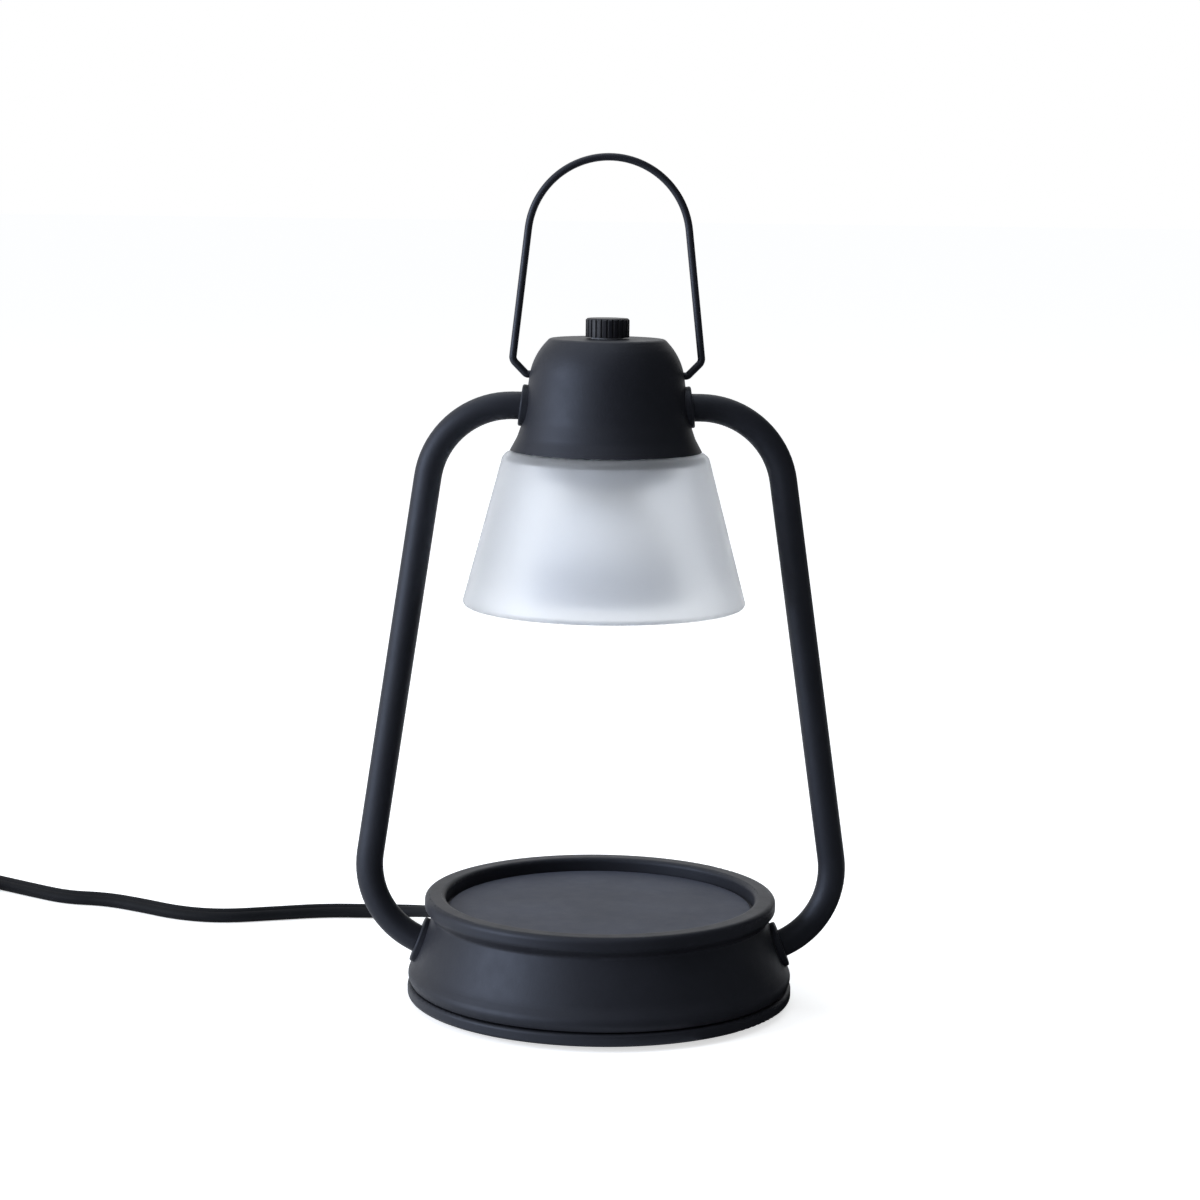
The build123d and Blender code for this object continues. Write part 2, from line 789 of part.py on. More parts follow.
with BuildPart() as lamp_base:
    with BuildSketch(Plane.XY.offset(lamp_neck_z)):
        Circle(lamp_neck_radius)
    with BuildSketch(Plane.XY.offset(lamp_neck_z + lamp_cone_height)):
        Circle(lamp_base_radius)
    loft()
    with BuildSketch(Plane.XY.offset(lamp_neck_z + lamp_cone_height)):
        Circle(lamp_base_radius)
    extrude(amount=lamp_base_height - lamp_cone_height)
    chamfer(lamp_base.edges().group_by(Axis.Z)[-1], length=pin_head_height / 2)

with BuildPart() as lamp_pins:
    with BuildSketch(Plane.XY.offset(lamp_base_z)):
        with GridLocations(pin_spacing, 0, 2, 1):
            Circle(pin_radius)
    extrude(amount=pin_length)
    with BuildSketch(Plane.XY.offset(lamp_base_z + pin_length - pin_head_height)):
        with GridLocations(pin_spacing, 0, 2, 1):
            Circle(pin_head_radius)
    extrude(amount=pin_head_height)

# ---------------------------------------------------------------- dimmer

with BuildPart() as dimmer_body:
    with BuildSketch(Plane.XY.offset(dimmer_bottom_z)):
        Circle(dimmer_radius)
    extrude(amount=dimmer_height)
    with BuildSketch(Plane.XY.offset(hood_ceiling_z)):
        Circle(bushing_radius)
    extrude(amount=hood_wall + bushing_height)
    with BuildSketch(Plane.XY.offset(dimmer_bottom_z + lug_thickness)):
        Rectangle(2 * (dimmer_radius + lug_reach_length), lug_width)
    extrude(amount=lug_thickness)
    with BuildSketch(Plane.XY.offset(hood_top_z + bushing_height)):
        Circle(shaft_radius + shaft_clearance)
    extrude(amount=shaft_bottom_z - shaft_end_gap - hood_top_z - bushing_height, mode=Mode.SUBTRACT)

with BuildPart() as dimmer_nut:
    with BuildSketch(Plane.XY.offset(hood_top_z)):
        Circle(dimmer_nut_radius)
        Circle(bushing_radius + nut_clearance, mode=Mode.SUBTRACT)
        Rectangle(2 * dimmer_nut_radius, dimmer_nut_slot_width, mode=Mode.SUBTRACT)
    extrude(amount=dimmer_nut_height)
    with BuildSketch(Plane.XY.offset(hood_top_z)):
        Circle(dimmer_nut_radius)
        Circle(bushing_radius + nut_clearance, mode=Mode.SUBTRACT)
    extrude(amount=dimmer_nut_height / 2)

with BuildPart() as dimmer_shaft:
    with BuildSketch(Plane.XY.offset(shaft_bottom_z)):
        Circle(shaft_radius)
    extrude(amount=shaft_top_z - shaft_bottom_z)
    with BuildSketch(Plane.XY.offset(knob_ceiling_z)):
        with Locations((0, shaft_radius)):
            Rectangle(2 * shaft_radius, 2 * shaft_flat_depth)
    extrude(amount=shaft_top_z - knob_ceiling_z, mode=Mode.SUBTRACT)

with BuildPart() as dimmer_knob:
    with BuildSketch(Plane.XY.offset(knob_bottom_z)):
        Circle(knob_radius)
    extrude(amount=knob_height)
    chamfer(dimmer_knob.edges().group_by(Axis.Z)[-1], length=knob_top_round)
    with BuildSketch(Plane.XY.offset(knob_bottom_z)):
        with PolarLocations(knob_radius, flute_count):
            Circle(flute_radius)
    extrude(amount=knob_height, mode=Mode.SUBTRACT)
    with BuildSketch(Plane.XY.offset(knob_bottom_z)):
        Circle(knob_recess_radius)
    extrude(amount=knob_recess_depth, mode=Mode.SUBTRACT)
    with BuildSketch(Plane.XY.offset(knob_ceiling_z)):
        Circle(shaft_radius + knob_fit)
        with Locations((0, shaft_radius + knob_fit)):
            Rectangle(2 * shaft_radius, 2 * shaft_flat_depth, mode=Mode.SUBTRACT)
    extrude(amount=shaft_top_z - knob_ceiling_z, mode=Mode.SUBTRACT)

# ---------------------------------------------------------------- bail

bail_hood_radius = hood_radius(bail_pivot_z)
bail_elbow_x = bail_hood_radius + bail_elbow_gap
bail_centre_z = bail_top_z - bail_arch_radius
bend_to_centre = hypot(bail_half_width, bail_centre_z - bail_bend_z)
leg_angle = atan2(bail_half_width, bail_centre_z - bail_bend_z) - asin(bail_arch_radius / bend_to_centre)
leg_length = (bend_to_centre**2 - bail_arch_radius**2) ** 0.5
leg_top = Vector(bail_half_width - leg_length * sin(leg_angle), 0, bail_bend_z + leg_length * cos(leg_angle))
head_x = bail_hood_radius - hood_wall - bail_head_gap

with BuildPart() as bail:
    with BuildLine() as bail_line:
        FilletPolyline(
            (bail_end_x, 0, bail_pivot_z),
            (bail_elbow_x, 0, bail_pivot_z),
            (bail_half_width, 0, bail_bend_z),
            leg_top,
            radius=[bail_elbow_round, bail_bend_round],
        )
        mirror(about=Plane.YZ)
        ThreePointArc(leg_top, (0, 0, bail_top_z), (-leg_top.X, 0, leg_top.Z))
    with BuildSketch(Plane.YZ.offset(bail_end_x)):
        with Locations((0, bail_pivot_z)):
            Circle(wire_radius)
    sweep()
    with BuildSketch(Plane.YZ.offset(head_x)):
        with Locations((0, bail_pivot_z)):
            Circle(bail_head_radius)
    extrude(amount=-bail_head_length)
    with BuildSketch(Plane.YZ.offset(-head_x)):
        with Locations((0, bail_pivot_z)):
            Circle(bail_head_radius)
    extrude(amount=bail_head_length)

# ---------------------------------------------------------------- wiring inside

block_plane = Plane(
    origin=boot_flat * block_circle_radius + Vector(0, 0, ballast_top_z), x_dir=boot_flat, z_dir=(0, 0, 1)
)

with BuildPart() as terminal_block:
    with BuildSketch(block_plane):
        Rectangle(block_length, block_width)
    extrude(amount=block_height)
    chamfer(terminal_block.edges().group_by(Axis.Z)[-1], length=block_chamfer_width)
    with BuildSketch(block_plane.offset(block_height)):
        with GridLocations(block_length / 2, block_width / 2, 2, 2):
            Circle(small_screw_radius)
    extrude(amount=-block_height / 3, mode=Mode.SUBTRACT)

with BuildPart() as mains_tail:
    with BuildSketch(Plane(origin=tail_start, z_dir=boot_axis)):
        Circle(cord_radius)
    extrude(amount=(tail_end - tail_start).length)

with BuildPart() as cord_clamp:
    with BuildSketch(clamp_plane):
        Rectangle(clamp_length, clamp_width)
        with GridLocations(0, clamp_screw_spacing, 1, 2):
            Circle(small_screw_radius + small_screw_clearance, mode=Mode.SUBTRACT)
    extrude(amount=clamp_height)
    with BuildSketch(Plane(origin=tail_start, z_dir=boot_axis)):
        Circle(cord_radius + boot_fit)
    extrude(amount=(tail_end - tail_start).length, mode=Mode.SUBTRACT)

with BuildPart() as clamp_screws:
    with BuildSketch(clamp_plane.offset(clamp_height)):
        with GridLocations(0, clamp_screw_spacing, 1, 2):
            Circle(small_screw_head_radius)
    extrude(amount=small_screw_head_height)
    with BuildSketch(clamp_plane.offset(-clamp_screw_depth)):
        with GridLocations(0, clamp_screw_spacing, 1, 2):
            Circle(small_screw_radius)
    extrude(amount=clamp_screw_depth + clamp_height)

lug_z = dimmer_bottom_z + 1.5 * lug_thickness
lead_x = dimmer_radius + lug_reach_length + arm_lead_radius
lead_exit = arm_foot_end + arm_inward * lead_exit_length
lead_rest_x = arm_foot_end.X - lead_rest_inset_width
block_side = Vector(-boot_flat.Y, boot_flat.X, 0)
block_entry = block_plane.origin + block_side * (block_width / 2) + Vector(0, 0, block_height / 2)

with BuildPart() as arm_lead:
    with BuildLine() as lead_line:
        FilletPolyline(
            (-lead_x, 0, lug_z + 2 * lug_thickness),
            (-lead_x, 0, arm_top_z),
            (-arm_top_corner.X, 0, arm_top_corner.Z),
            (-arm_low_corner.X, 0, arm_low_corner.Z),
            (-lead_exit.X, 0, lead_exit.Z),
            (-lead_rest_x, lead_rest_side_width, ballast_top_z + lead_rest_height),
            block_entry + block_side * lead_approach_length,
            block_entry,
            radius=[lead_bend_radius / 2, arm_top_bend_radius, arm_low_bend_radius, lead_bend_radius / 2, lead_bend_radius, lead_bend_radius],
        )
    with BuildSketch(Plane(origin=lead_line.line @ 0, z_dir=lead_line.line % 0)):
        Circle(arm_lead_radius)
    sweep()

lamp_lead_x = dimmer_radius + lug_reach_length + lamp_lead_radius

with BuildPart() as lamp_lead:
    with BuildLine() as lamp_lead_line:
        FilletPolyline(
            (lamp_lead_x, 0, lug_z + 2 * lug_thickness),
            (lamp_lead_x, 0, holder_top_z + lamp_lead_height),
            (holder_radius / 2, 0, holder_top_z + lamp_lead_height),
            (holder_radius / 2, 0, holder_top_z),
            radius=2 * lamp_lead_radius,
        )
    with BuildSketch(Plane(origin=lamp_lead_line.line @ 0, z_dir=lamp_lead_line.line % 0)):
        Circle(lamp_lead_radius)
    sweep()

# ---------------------------------------------------------------- cord boot

boot_collar_plane = Plane(
    origin=boot_seat,
    x_dir=(-boot_flat.Y, boot_flat.X, 0),
    z_dir=boot_flat * cos(radians(skirt_tilt)) + Vector(0, 0, sin(radians(skirt_tilt))),
)
boot_taper = (boot_root_radius - boot_tip_radius) / boot_length
groove_start = boot_length / 3
groove_step = (boot_length - groove_start) / boot_groove_count

with BuildPart() as cord_boot:
    with BuildSketch(boot_collar_plane.offset(-flange_saddle_depth)):
        Circle(boot_collar_radius)
    extrude(amount=flange_saddle_depth + boot_collar_thickness)
    fillet(cord_boot.edges().sort_by(Axis(boot_seat, boot_collar_plane.z_dir))[-1], radius=boot_collar_round)
    with BuildSketch(boot_plane):
        Circle(boot_root_radius)
    with BuildSketch(boot_plane.offset(boot_length)):
        Circle(boot_tip_radius)
    loft()
    for groove in range(boot_groove_count):
        groove_at = groove_start + groove * groove_step
        with BuildSketch(boot_plane.offset(groove_at)):
            Circle(boot_root_radius + boot_groove_width)
            Circle(boot_root_radius - groove_at * boot_taper - boot_groove_depth, mode=Mode.SUBTRACT)
        extrude(amount=boot_groove_width, mode=Mode.SUBTRACT)
    add(shell_envelope.part, mode=Mode.SUBTRACT)
    with BuildSketch(boot_plane.offset(-boot_neck_inside)):
        Circle(boot_neck_radius)
    extrude(amount=boot_neck_inside + boot_neck_outside)
    with BuildSketch(boot_plane.offset(-boot_neck_inside)):
        Circle(cord_radius + boot_fit)
    extrude(amount=boot_neck_inside + boot_length, mode=Mode.SUBTRACT)

# ---------------------------------------------------------------- cord

floor_z = cord_radius
cord_route = [
    tail_end,
    boot_tip + boot_axis * boot_lead_length,
    Vector(-62.7, 90.0, 4.0),
    Vector(-77.8, 95.1, floor_z),
    Vector(-95.3, 95.3, floor_z),
    Vector(-112.4, 90.3, floor_z),
    Vector(-129.9, 85.2, floor_z),
    Vector(-145.5, 88.9, floor_z),
    Vector(-159.5, 98.8, floor_z),
    Vector(-173.6, 107.1, floor_z),
    Vector(-187.7, 108.9, floor_z),
    Vector(-200.8, 118.1, floor_z),
    Vector(-215.4, 129.1, floor_z),
    Vector(-227.0, 137.3, floor_z),
    Vector(-237.9, 146.3, floor_z + 0.4),
]
tail_route = [
    Vector(-298.7, 112.1, 4.6),
    Vector(plug_end[0], 99.6, plug_end[2]),
    Vector(*plug_end),
]


def corner_radii(route):
    """Arc radius at each inner point: 0.45 of the shorter run over the tangent of half the turn."""
    radii = []
    for before, here, after in zip(route, route[1:], route[2:]):
        turn = radians((here - before).get_angle(after - here))
        radii.append(0.45 * min((here - before).length, (after - here).length) / tan(turn / 2))
    return radii


cord_radii = corner_radii(cord_route)
tail_radii = corner_radii(tail_route)

with BuildPart() as cord:
    with BuildLine() as cord_line:
        FilletPolyline(*cord_route, radius=cord_radii)
    with BuildSketch(Plane(origin=cord_route[0], z_dir=boot_axis)):
        Circle(cord_radius)
    sweep()

with BuildPart() as cord_tail:
    with BuildLine() as tail_line:
        FilletPolyline(*tail_route, radius=tail_radii)
    with BuildSketch(Plane(origin=tail_route[0], z_dir=tail_line.line % 0)):
        Circle(cord_radius)
    sweep()

# ---------------------------------------------------------------- coil and its tie

coil_axis = Axis((coil_centre[0], coil_centre[1], 0), (0, 0, 1))
coil_section = Plane(
    origin=(coil_centre[0], coil_centre[1], coil_bottom_z + coil_height / 2),
    x_dir=(cos(radians(tie_angle)), sin(radians(tie_angle)), 0),
    z_dir=(sin(radians(tie_angle)), -cos(radians(tie_angle)), 0),
)

with BuildPart() as cord_coil:
    with BuildSketch(coil_section):
        with Locations((coil_middle_radius, 0)):
            RectangleRounded(2 * coil_half_width, coil_height, coil_round)
    revolve(axis=coil_axis)

with BuildPart() as cord_tie:
    with BuildSketch(coil_section):
        with Locations((coil_middle_radius, 0)):
            RectangleRounded(
                2 * (coil_half_width + tie_gap + tie_thickness) + tie_slack_width,
                coil_height + 2 * (tie_gap + tie_thickness),
                coil_round,
            )
            RectangleRounded(
                2 * (coil_half_width + tie_gap) + tie_slack_width,
                coil_height + 2 * tie_gap,
                coil_round,
                mode=Mode.SUBTRACT,
            )
    extrude(amount=tie_width / 2, both=True)

# ---------------------------------------------------------------- plug

plug_plane = Plane(origin=plug_end, x_dir=(-1, 0, 0), z_dir=(0, -1, 0))
plug_nose = plug_relief_length + plug_body_length
relief_step = plug_relief_length / (plug_relief_groove_count + 1)
relief_taper = (plug_relief_radius - plug_neck_radius) / plug_relief_length
grip_start = plug_relief_length + plug_shoulder_length
blade_hole_y = plug_end[1] - plug_nose - blade_length + blade_hole_inset

with BuildPart() as plug_body:
    with BuildSketch(plug_plane):
        Circle(plug_neck_radius)
    with BuildSketch(plug_plane.offset(plug_relief_length)):
        Circle(plug_relief_radius)
    loft()
    for groove in range(plug_relief_groove_count):
        groove_at = (groove + 0.6) * relief_step
        with BuildSketch(plug_plane.offset(groove_at)):
            Circle(2 * plug_relief_radius)
            Circle(plug_neck_radius + groove_at * relief_taper - plug_relief_groove_depth, mode=Mode.SUBTRACT)
        extrude(amount=plug_relief_groove_width, mode=Mode.SUBTRACT)
    with BuildSketch(plug_plane.offset(plug_relief_length)):
        RectangleRounded(plug_root_width, plug_root_height, plug_body_round)
    with BuildSketch(plug_plane.offset(plug_relief_length + plug_shoulder_length)):
        RectangleRounded(plug_body_width, plug_body_height, plug_body_round)
    loft(ruled=True)
    with BuildSketch(plug_plane.offset(plug_relief_length + plug_shoulder_length)):
        RectangleRounded(plug_body_width, plug_body_height, plug_body_round)
    with BuildSketch(plug_plane.offset(plug_nose)):
        RectangleRounded(plug_nose_width, plug_body_height, plug_body_round)
    loft(ruled=True)
    fillet(plug_body.edges().group_by(Axis.Y)[0], radius=plug_nose_round)
    for groove in range(plug_grip_count):
        with BuildSketch(plug_plane.offset(grip_start + groove * plug_grip_step_length)):
            with GridLocations(0, plug_body_height, 1, 2):
                Rectangle(plug_grip_width, 2 * plug_grip_groove_depth)
        extrude(amount=plug_grip_groove_width, mode=Mode.SUBTRACT)
    with BuildSketch(plug_plane.offset(plug_nose)):
        with GridLocations(blade_spacing, 0, 2, 1):
            Rectangle(blade_thickness, blade_width)
    extrude(amount=-blade_inset_depth, mode=Mode.SUBTRACT)

with BuildPart() as plug_blades:
    with BuildSketch(plug_plane.offset(plug_nose - blade_inset_depth)):
        with GridLocations(blade_spacing, 0, 2, 1):
            Rectangle(blade_thickness, blade_width)
    extrude(amount=blade_inset_depth + blade_length)
    chamfer(plug_blades.faces().sort_by(Axis.Y)[:2].edges(), length=blade_thickness / 4)
    with BuildSketch(Plane.YZ.offset(plug_end[0] - plug_nose_width)):
        with Locations((blade_hole_y, plug_end[2])):
            Circle(blade_hole_radius)
    extrude(amount=2 * plug_nose_width, mode=Mode.SUBTRACT)

# ---------------------------------------------------------------- export

pieces = {
    "foot_pads": foot_pads,
    "weight_plate": weight_plate,
    "ballast_disc": ballast_disc,
    "shell_posts": shell_posts,
    "base_screws": base_screws,
    "base_shell": base_shell,
    "candle_plate": candle_plate,
    "arm_left": arm_left,
    "arm_right": arm_right,
    "foot_flange_left": foot_flange_left,
    "foot_flange_right": foot_flange_right,
    "foot_washers": foot_washers,
    "foot_nuts": foot_nuts,
    "head_flange_left": head_flange_left,
    "head_flange_right": head_flange_right,
    "head_nuts": head_nuts,
    "hood": hood,
    "lamp_bracket": lamp_bracket,
    "shade_gallery": shade_gallery,
    "shade_gaskets": shade_gaskets,
    "shade_ring": shade_ring,
    "glass_shade": glass_shade,
    "lamp_holder": lamp_holder,
    "holder_screws": holder_screws,
    "lamp_reflector": lamp_reflector,
    "lamp_lens": lamp_lens,
    "lamp_base": lamp_base,
    "lamp_pins": lamp_pins,
    "dimmer_body": dimmer_body,
    "dimmer_nut": dimmer_nut,
    "dimmer_shaft": dimmer_shaft,
    "dimmer_knob": dimmer_knob,
    "bail": bail,
    "terminal_block": terminal_block,
    "mains_tail": mains_tail,
    "cord_clamp": cord_clamp,
    "clamp_screws": clamp_screws,
    "arm_lead": arm_lead,
    "lamp_lead": lamp_lead,
    "cord_boot": cord_boot,
    "cord": cord,
    "cord_tail": cord_tail,
    "cord_coil": cord_coil,
    "cord_tie": cord_tie,
    "plug_body": plug_body,
    "plug_blades": plug_blades,
}

os.makedirs("parts", exist_ok=True)
for name, piece in pieces.items():
    piece.part.label = name
    export_step(piece.part, f"parts/{name}.step")

print("cord corner radii", [round(r, 1) for r in cord_radii])
print("cord tail corner radii", [round(r, 1) for r in tail_radii])
section = pi * cord_radius**2
cord_length = sum(edge.length for edge in cord_line.edges())
tail_run = sum(edge.length for edge in tail_line.edges())
print("cord volume", round(cord.part.volume, 1), "section x length", round(section * cord_length, 1))
print("tail volume", round(cord_tail.part.volume, 1), "section x length", round(section * tail_run, 1))
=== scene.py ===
"""Looks of the candle warmer lamp: camera, light, materials and the cord that replaces the CAD's.

Metres, in the frame of the CAD, unless a name or a comment says millimetres.
"""

import json
import math

import bpy
from mathutils import Matrix, Vector


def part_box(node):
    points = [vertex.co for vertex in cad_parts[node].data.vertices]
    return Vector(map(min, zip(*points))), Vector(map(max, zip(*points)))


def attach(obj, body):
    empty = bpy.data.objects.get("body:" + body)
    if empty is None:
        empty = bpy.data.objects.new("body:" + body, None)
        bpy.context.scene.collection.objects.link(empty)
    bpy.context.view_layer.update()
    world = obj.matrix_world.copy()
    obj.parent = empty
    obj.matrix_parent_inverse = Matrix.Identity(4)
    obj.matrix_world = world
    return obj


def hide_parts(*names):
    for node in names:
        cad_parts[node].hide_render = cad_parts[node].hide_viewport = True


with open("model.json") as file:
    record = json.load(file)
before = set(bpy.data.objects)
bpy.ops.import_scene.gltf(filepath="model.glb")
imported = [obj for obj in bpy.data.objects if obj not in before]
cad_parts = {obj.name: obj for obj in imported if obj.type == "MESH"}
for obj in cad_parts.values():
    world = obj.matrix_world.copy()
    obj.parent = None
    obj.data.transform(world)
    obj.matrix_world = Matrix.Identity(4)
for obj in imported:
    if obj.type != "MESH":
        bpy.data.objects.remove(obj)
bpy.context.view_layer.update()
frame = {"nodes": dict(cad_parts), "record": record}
scene = bpy.context.scene
MM = 0.001

# ---------------------------------------------------------------- camera

IMAGE_PX = 1200
SENSOR_MM = 36
LENS_MM = 86.67
CAMERA_BACK = 0.8823
CAMERA_UP = 0.2530
CAMERA_PITCH = 8.2
CAMERA_ROLL = 0.75
SHIFT_RIGHT_PX = 4.0
SHIFT_DOWN_PX = 1.0
SIGHT_RANGE = 20


def make_camera():
    data = bpy.data.cameras.new("camera")
    data.lens = LENS_MM
    data.sensor_width = SENSOR_MM
    data.shift_x = -SHIFT_RIGHT_PX / IMAGE_PX
    data.shift_y = SHIFT_DOWN_PX / IMAGE_PX
    data.clip_end = SIGHT_RANGE
    camera = bpy.data.objects.new("camera", data)
    scene.collection.objects.link(camera)
    camera.matrix_world = (
        Matrix.Translation((0, -CAMERA_BACK, CAMERA_UP))
        @ Matrix.Rotation(math.radians(90 - CAMERA_PITCH), 4, "X")
        @ Matrix.Rotation(math.radians(CAMERA_ROLL), 4, "Z")
    )
    scene.camera = camera


# ---------------------------------------------------------------- nodes of a material


class Material:
    """A principled material that is built up node by node."""

    def __init__(self, name, color, rough, metal=0.0, **sockets):
        self.data = bpy.data.materials.new(name)
        self.data.use_nodes = True
        self.tree = self.data.node_tree
        self.shader = self.tree.nodes["Principled BSDF"]
        self.shader.inputs["Base Color"].default_value = (*color, 1)
        self.shader.inputs["Roughness"].default_value = rough
        self.shader.inputs["Metallic"].default_value = metal
        for socket, value in sockets.items():
            self.shader.inputs[socket.replace("_", " ")].default_value = value
        self.place = self.node("ShaderNodeTexCoord").outputs["Object"]

    def node(self, kind, **settings):
        made = self.tree.nodes.new(kind)
        for key, value in settings.items():
            setattr(made, key, value)
        return made

    def link(self, start, end):
        self.tree.links.new(start, end)

    def split(self):
        """The object's coordinates, one by one."""
        made = self.node("ShaderNodeSeparateXYZ")
        self.link(self.place, made.inputs["Vector"])
        return made.outputs

    def ringed(self, scale):
        """Coordinates of radius and height only, so that what follows them runs in turned rings."""
        along = self.split()
        flat = self.node("ShaderNodeCombineXYZ")
        self.link(along["X"], flat.inputs["X"])
        self.link(along["Y"], flat.inputs["Y"])
        radius = self.node("ShaderNodeVectorMath", operation="LENGTH")
        self.link(flat.outputs["Vector"], radius.inputs[0])
        turned = self.node("ShaderNodeCombineXYZ")
        self.link(radius.outputs["Value"], turned.inputs["X"])
        self.link(along["Z"], turned.inputs["Z"])
        scaled_up = self.node("ShaderNodeMapping")
        scaled_up.inputs["Scale"].default_value = (scale, scale, scale)
        self.link(turned.outputs["Vector"], scaled_up.inputs["Vector"])
        return scaled_up.outputs["Vector"]

    def noise(self, scale, detail, vector=None):
        made = self.node("ShaderNodeTexNoise")
        made.inputs["Scale"].default_value = scale
        made.inputs["Detail"].default_value = detail
        self.link(vector or self.place, made.inputs["Vector"])
        return made.outputs["Fac"]

    def cells(self, scale, feature="F1"):
        """Distance within small cells, or to their edges."""
        made = self.node("ShaderNodeTexVoronoi", feature=feature)
        made.inputs["Scale"].default_value = scale
        self.link(self.place, made.inputs["Vector"])
        return made.outputs["Distance"]

    def up_from(self, low_z, high_z):
        """0 at the lower height to 1 at the upper one."""
        made = self.node("ShaderNodeMapRange")
        made.inputs["From Min"].default_value = low_z
        made.inputs["From Max"].default_value = high_z
        self.link(self.split()["Z"], made.inputs["Value"])
        return made.outputs["Result"]

    def vary_color(self, value, low, high, low_at=0.3, high_at=0.7):
        """The colour goes from low to high as value goes from low_at to high_at."""
        ramp = self.node("ShaderNodeValToRGB")
        for stop, position, color in zip(
            ramp.color_ramp.elements, (low_at, high_at), (low, high)
        ):
            stop.position = position
            stop.color = (*color, 1)
        self.link(value, ramp.inputs["Fac"])
        self.link(ramp.outputs["Color"], self.shader.inputs["Base Color"])

    def vary_rough(self, value, low, high):
        made = self.node("ShaderNodeMapRange")
        made.inputs["To Min"].default_value = low
        made.inputs["To Max"].default_value = high
        self.link(value, made.inputs["Value"])
        self.link(made.outputs["Result"], self.shader.inputs["Roughness"])

    def bump(self, value, depth, strength):
        """Adds relief that is depth metres high; more calls add to it."""
        made = self.node("ShaderNodeBump")
        made.inputs["Strength"].default_value = strength
        made.inputs["Distance"].default_value = depth
        self.link(value, made.inputs["Height"])
        before = self.shader.inputs["Normal"].links
        if before:
            self.link(before[0].from_socket, made.inputs["Normal"])
        self.link(made.outputs["Normal"], self.shader.inputs["Normal"])


def scaled(color, factor):
    return tuple(c * factor for c in color)


# ---------------------------------------------------------------- materials

BLACK = (0.0125, 0.013, 0.0168)
BLUISH = (0.74, 0.82, 1.0, 1)


def powder_coat(name, color, rough, spun=0.0):
    """Satin powder coat: a fine grain, faint clouds and, on spun sheet, faint rings."""
    coat = Material(name, color, rough, Specular_IOR_Level=0.28, Specular_Tint=BLUISH)
    coat.vary_color(
        coat.noise(scale=45, detail=4), low=scaled(color, 0.86), high=scaled(color, 1.14)
    )
    coat.vary_rough(coat.noise(scale=220, detail=3), low=rough - 0.06, high=rough + 0.06)
    coat.bump(coat.noise(scale=2600, detail=2), depth=0.00006, strength=0.5)
    coat.bump(coat.noise(scale=900, detail=3), depth=0.00006, strength=0.4)
    if spun:
        rings = coat.noise(scale=1.0, detail=2, vector=coat.ringed(scale=700))
        coat.bump(rings, depth=0.00008, strength=spun)
    return coat.data


def plated_steel(name, color, rough):
    plate = Material(name, color, rough, metal=1.0)
    plate.vary_color(plate.noise(scale=300, detail=3), low=scaled(color, 0.8), high=color)
    plate.vary_rough(plate.noise(scale=900, detail=2), low=rough - 0.05, high=rough + 0.1)
    plate.bump(plate.noise(scale=1800, detail=2), depth=0.00003, strength=0.4)
    return plate.data


def cast(name, color):
    iron = Material(name, color, rough=0.75, metal=0.6)
    iron.vary_color(
        iron.noise(scale=160, detail=5), low=scaled(color, 0.6), high=scaled(color, 1.2)
    )
    iron.bump(iron.noise(scale=700, detail=5), depth=0.00025, strength=0.8)
    return iron.data


def moulded(name, color, rough, grain=1500.0, depth=0.00004, shine=0.35):
    """Plastic or rubber with the fine grain of its mould."""
    plastic = Material(name, color, rough, Specular_IOR_Level=shine)
    plastic.vary_color(
        plastic.noise(scale=90, detail=3), low=scaled(color, 0.88), high=scaled(color, 1.15)
    )
    plastic.vary_rough(plastic.noise(scale=400, detail=2), low=rough - 0.05, high=rough + 0.07)
    plastic.bump(plastic.noise(grain, detail=2), depth, strength=0.5)
    return plastic.data


def frosted_glass(name, color, rough):
    glass = Material(name, color, rough, IOR=1.38, Transmission_Weight=0.9)
    glass.vary_color(
        glass.noise(scale=25, detail=2), low=(0.945, 0.962, 0.992), high=(0.962, 0.979, 1.0)
    )
    glass.vary_rough(glass.noise(scale=60, detail=2), low=rough - 0.02, high=rough + 0.02)
    return glass.data


def reflector_glass(name, color, rough):
    """Faceted mirror glass, darker towards its open rim: painted shade, for the shaded lower part
    of the lamp seen through the frosted shade.
    """
    mirror = Material(name, color, rough)
    low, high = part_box("lamp_reflector")
    mirror.vary_color(
        mirror.up_from(low[2], high[2]),
        low=(0.55, 0.57, 0.61),
        high=(0.97, 0.98, 0.99),
        low_at=0.3,
        high_at=0.75,
    )
    facets = mirror.cells(scale=420, feature="DISTANCE_TO_EDGE")
    mirror.bump(facets, depth=0.0003, strength=0.5)
    return mirror.data


def lens_glass(name, color, rough):
    lens = Material(name, color, rough, IOR=1.48, Transmission_Weight=0.8)
    cells = lens.cells(scale=260)
    lens.vary_color(
        cells, low=(0.94, 0.96, 0.98), high=(0.8, 0.84, 0.88), low_at=0.0, high_at=0.8
    )
    lens.bump(cells, depth=0.0005, strength=0.6)
    return lens.data


def glazed(name, color):
    glaze = Material(name, color, rough=0.35)
    glaze.vary_color(glaze.noise(scale=120, detail=3), low=scaled(color, 0.93), high=color)
    glaze.vary_rough(glaze.noise(scale=300, detail=2), low=0.3, high=0.42)
    glaze.bump(glaze.noise(scale=250, detail=2), depth=0.00005, strength=0.3)
    return glaze.data


